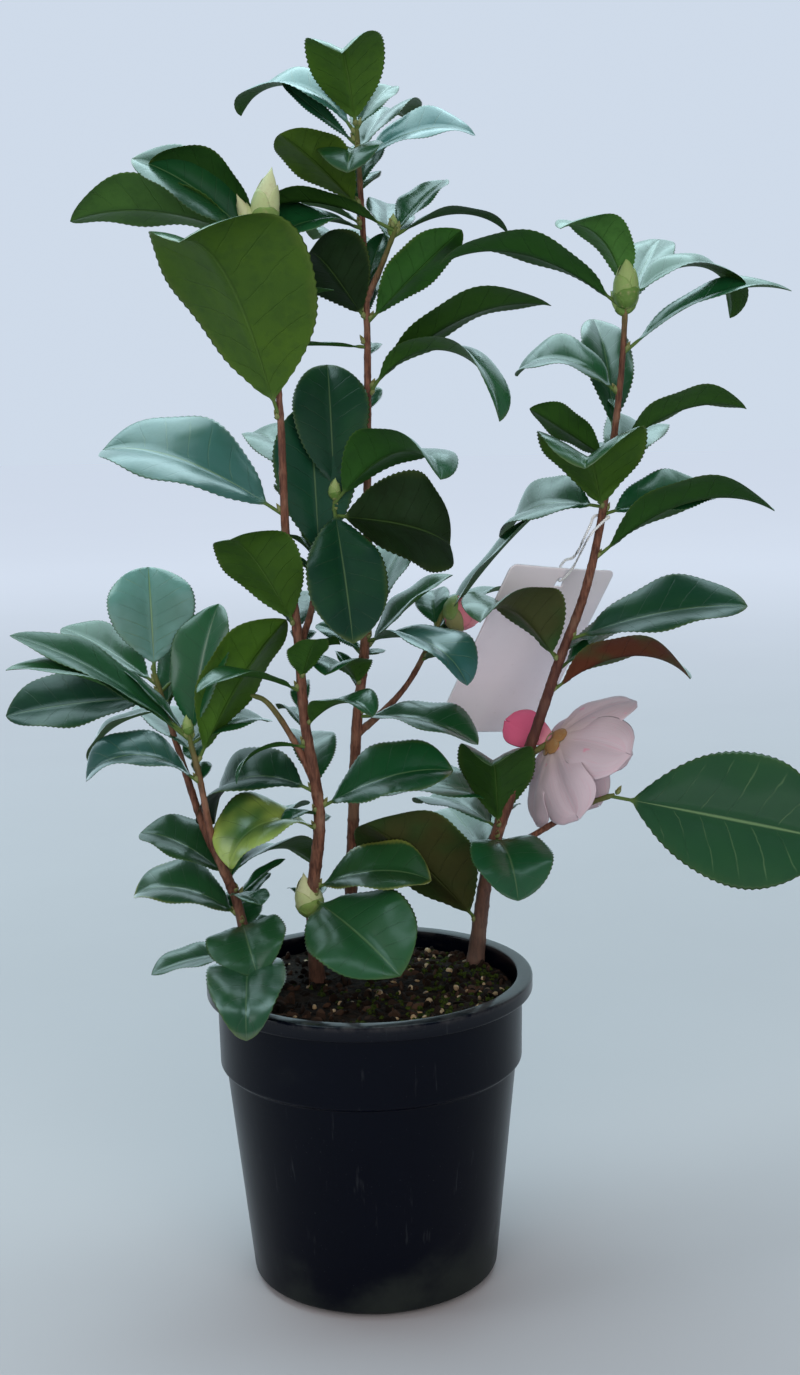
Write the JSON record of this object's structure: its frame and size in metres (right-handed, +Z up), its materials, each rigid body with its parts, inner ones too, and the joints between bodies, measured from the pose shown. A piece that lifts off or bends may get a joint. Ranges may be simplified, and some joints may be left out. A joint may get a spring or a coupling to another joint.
{
  "type": "potted camellia shrub",
  "caption": "Young evergreen camellia with slender stems, glossy toothed leaves, buds and a pale bloom, in a round black nursery pot with a blank care label.",
  "frame": {"origin": "centre of the pot's flat underside", "axes": "+Z up along the pot's axis, +Y to the plant's back, +X to its right as seen from its front"},
  "size_m": [0.4237, 0.2069, 0.6367],
  "materials": {
    "pot": "near-black moulded plastic, satin gloss, a little dusty",
    "soil": "rough dark compost of bark with pale grit",
    "bark": "smooth young bark, reddish brown, greyer at the foot",
    "leaves": "leathery leaves, glossy dark green above, paler and duller below",
    "label": "white printed plastic, left blank",
    "label_loop": "thin white plastic thread"
  },
  "bodies": {
    "root": {"pot": "pot", "soil": "soil", "stem_left": "bark", "bough_left_outer": "bark", "bough_left_inner": "bark", "stem_middle": "bark", "bough_middle_side": "bark", "bough_middle_inner": "bark", "bough_middle_upper": "bark", "bough_middle_top": "bark", "stem_back": "bark", "bough_back_side": "bark", "bough_back": "bark", "stem_right": "bark", "bough_right_side": "bark", "bough_right": "bark", "bough_right_upper": "bark", "foliage_left_foot": "leaves", "foliage_left_outer": "leaves", "foliage_left_inner": "leaves", "foliage_middle_foot": "leaves", "foliage_middle_heart": "leaves", "foliage_middle_inner": "leaves", "foliage_middle_arm": "leaves", "foliage_middle_crown": "leaves", "foliage_back_low": "leaves", "foliage_back_side": "leaves", "foliage_back_high": "leaves", "foliage_back_upper": "leaves", "foliage_back_crown": "leaves", "foliage_right_foot": "leaves", "foliage_right_side": "leaves", "foliage_right_low": "leaves", "foliage_right_middle": "leaves", "foliage_right_top": "leaves", "care_label": "label", "label_loop": "label_loop"}
  },
  "joints": []
}
